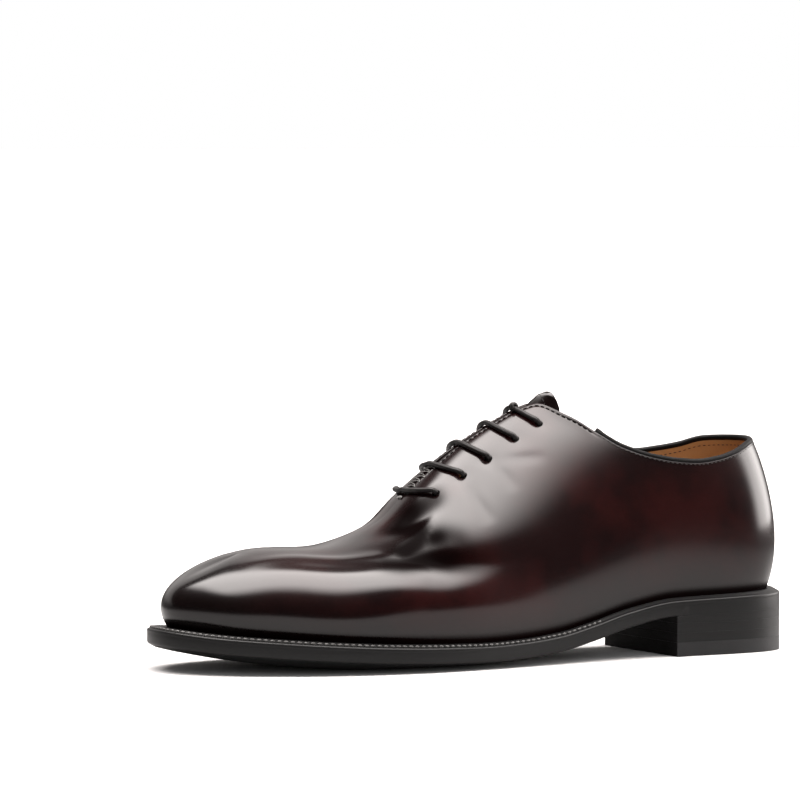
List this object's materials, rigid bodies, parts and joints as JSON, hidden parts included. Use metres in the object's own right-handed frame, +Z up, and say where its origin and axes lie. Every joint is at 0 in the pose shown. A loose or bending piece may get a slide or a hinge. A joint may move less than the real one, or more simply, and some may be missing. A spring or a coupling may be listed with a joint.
{
  "type": "oxford shoe",
  "caption": "Left oxford dress shoe: one-piece leather upper with closed lacing, welted leather sole and stacked heel.",
  "frame": {"origin": "middle of the shoe's outline, on the floor it stands on", "axes": "+X towards the toe, +Y towards the wearer's left (the outer side of this left shoe), +Z up"},
  "size_m": [0.301, 0.1044, 0.1176],
  "materials": {
    "upper_leather": "dark burgundy-brown, polished to a high gloss",
    "edge_leather": "black, waxed",
    "lining_leather": "tan, matt",
    "heel_rubber": "black, matt",
    "lace_cord": "black, waxed",
    "binding_leather": "black, satin"
  },
  "bodies": {
    "root": {"heel_top_piece": "heel_rubber", "heel_lift_1": "edge_leather", "heel_lift_2": "edge_leather", "heel_lift_3": "edge_leather", "outsole": "edge_leather", "welt": "edge_leather", "insole": "lining_leather", "upper": "upper_leather", "collar_binding": "binding_leather", "tongue": "upper_leather", "lace": "lace_cord"}
  },
  "joints": []
}
